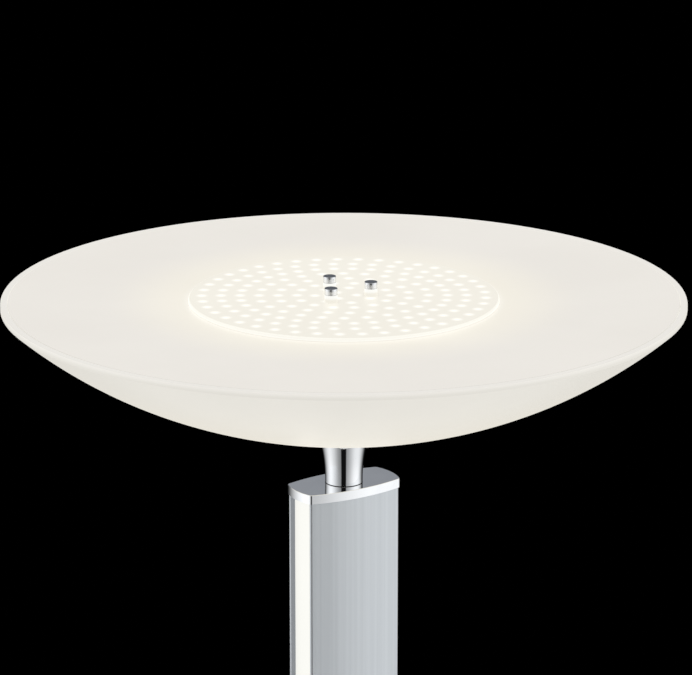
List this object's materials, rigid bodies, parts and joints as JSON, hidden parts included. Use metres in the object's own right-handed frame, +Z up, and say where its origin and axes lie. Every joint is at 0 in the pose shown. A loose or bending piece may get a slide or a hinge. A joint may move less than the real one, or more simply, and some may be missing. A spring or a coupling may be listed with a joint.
{
  "type": "torchiere floor lamp",
  "caption": "Tall uplighter floor lamp: closed opal dish with an LED disc, chrome stem, lens-shaped brushed column with lit edges, push buttons and a round weighted base.",
  "frame": {"origin": "on the floor, under the axis of stem and dish", "axes": "+Z up along the column, X along the column's long side, -Y towards the side with the push buttons"},
  "size_m": [0.45, 0.45, 1.7992],
  "materials": {
    "opal_glass": "satin opal glass, lit from inside",
    "opal_acrylic": "satin opal acrylic, lit from behind",
    "white_nylon": "translucent white nylon",
    "chrome": "polished chrome plate",
    "brushed_aluminium": "anodised, brushed lengthwise",
    "brushed_base": "spun and brushed in circles, clear lacquered",
    "mill_aluminium": "mill finish",
    "zinc_steel": "bright zinc plate",
    "spring_steel": "oiled spring wire",
    "cast_iron": "primed, dark grey",
    "rubber": "matt black",
    "black_plastic": "moulded, fine grain",
    "driver_case": "moulded white",
    "white_board": "white solder resist",
    "green_board": "green solder resist",
    "led_phosphor": "phosphor in clear silicone",
    "wire_sheath": "white sheath"
  },
  "bodies": {
    "lamp": {"base_cover": "brushed_base", "base_pad": "rubber", "base_weight": "cast_iron", "bolt_washers": "zinc_steel", "bridge_plate": "zinc_steel", "bridge_screws": "zinc_steel", "cable_gland": "black_plastic", "column_bolts": "zinc_steel", "column_cap": "chrome", "column_profile": "brushed_aluminium", "control_board": "green_board", "control_lead": "wire_sheath", "cover_disc": "opal_acrylic", "disc_spacers": "white_nylon", "dish_bezel": "chrome", "dish_spring": "spring_steel", "dish_switch": "black_plastic", "foot_collar": "chrome", "glass_bowl": "opal_glass", "head_lead": "wire_sheath", "heat_spreader": "mill_aluminium", "hub_flange": "zinc_steel", "hub_nut": "zinc_steel", "led_board": "white_board", "led_chips": "led_phosphor", "led_driver": "driver_case", "lower_gasket": "rubber", "lower_nut": "zinc_steel", "lower_washer": "zinc_steel", "nipple": "zinc_steel", "nut_washers": "white_nylon", "rim_seal": "rubber", "sleeves": "mill_aluminium", "stem": "chrome", "strip_bezel": "chrome", "strip_board_left": "mill_aluminium", "strip_board_right": "mill_aluminium", "strip_cover_left": "opal_acrylic", "strip_cover_right": "opal_acrylic", "strip_leads": "wire_sheath", "strip_led_left": "led_phosphor", "strip_led_right": "led_phosphor", "strip_spring": "spring_steel", "strip_switch": "black_plastic", "studs": "zinc_steel", "switch_nuts": "zinc_steel", "top_diffuser": "opal_acrylic", "top_nuts": "chrome", "upper_gasket": "rubber"},
    "dish_button": {"dish_button": "chrome"},
    "strip_button": {"strip_button": "chrome"}
  },
  "joints": [
    {"name": "dish_press", "type": "slide", "parent": "lamp", "child": "dish_button", "axis": [0, 1, 0], "range_m": [0, 0.0015], "stiffness_N_per_m": 800, "springref_m": -0.001, "deforming": ["dish_spring"]},
    {"name": "strip_press", "type": "slide", "parent": "lamp", "child": "strip_button", "axis": [0, 1, 0], "range_m": [0, 0.0015], "stiffness_N_per_m": 800, "springref_m": -0.001, "deforming": ["strip_spring"]}
  ]
}
